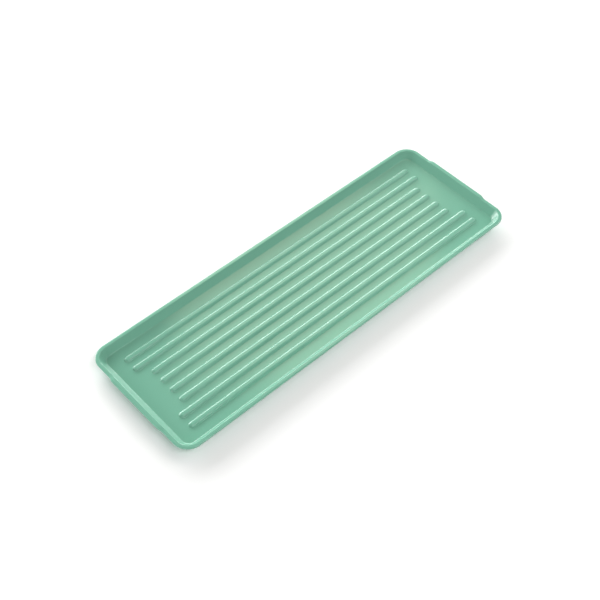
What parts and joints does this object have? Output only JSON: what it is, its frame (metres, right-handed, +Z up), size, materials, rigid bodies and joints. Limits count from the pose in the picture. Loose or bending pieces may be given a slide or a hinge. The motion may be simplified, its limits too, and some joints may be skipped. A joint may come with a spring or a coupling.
{
  "type": "ribbed tray",
  "caption": "Long shallow moulded tray with lengthwise raised ribs, sloped walls, a rounded rim, a low grip on each short end and soft feet; keeps what stands in it clear of the wet.",
  "frame": {"origin": "on the surface that the feet stand on, under the middle of the tray", "axes": "+X along the tray, +Y across it, +Z up out of its open side"},
  "size_m": [0.4026, 0.138, 0.0122],
  "materials": {
    "mint_plastic": "glossy moulded plastic, mint green",
    "foot_rubber": "matte soft rubber, pale grey"
  },
  "bodies": {
    "root": {"tray": "mint_plastic", "foot_left_front": "foot_rubber", "foot_left_rear": "foot_rubber", "foot_right_front": "foot_rubber", "foot_right_rear": "foot_rubber"}
  },
  "joints": []
}
